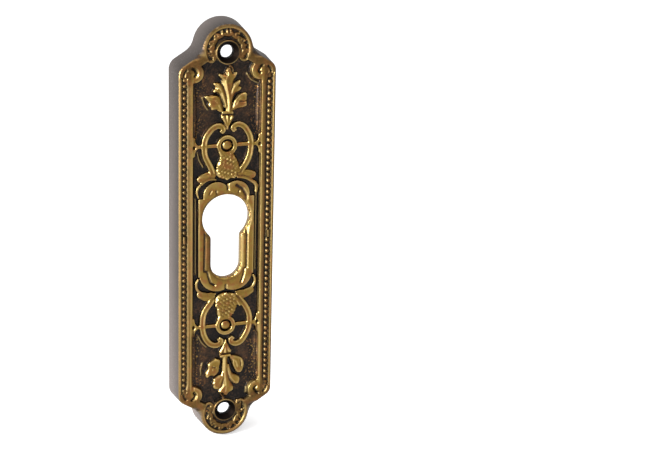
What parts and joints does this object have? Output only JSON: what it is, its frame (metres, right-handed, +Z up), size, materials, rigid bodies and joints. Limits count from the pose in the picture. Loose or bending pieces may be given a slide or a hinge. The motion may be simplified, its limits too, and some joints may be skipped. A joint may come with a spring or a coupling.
{
  "type": "keyhole escutcheon",
  "caption": "Cast keyhole escutcheon plate with beaded borders, scrolls, rosettes and leaf sprays in relief, for a profile cylinder lock",
  "frame": {"origin": "middle of the keyhole plate on the back plane that lies on the door, halfway between the two screw holes", "axes": "+Z up along the plate, +X to the right as seen from the front, and the face looks along -Y"},
  "size_m": [0.0406, 0.0124, 0.1718],
  "materials": {
    "antique_brass": "cast, dark patina in the hollows, polished on the high places"
  },
  "bodies": {
    "root": {"escutcheon_plate": "antique_brass"}
  },
  "joints": []
}
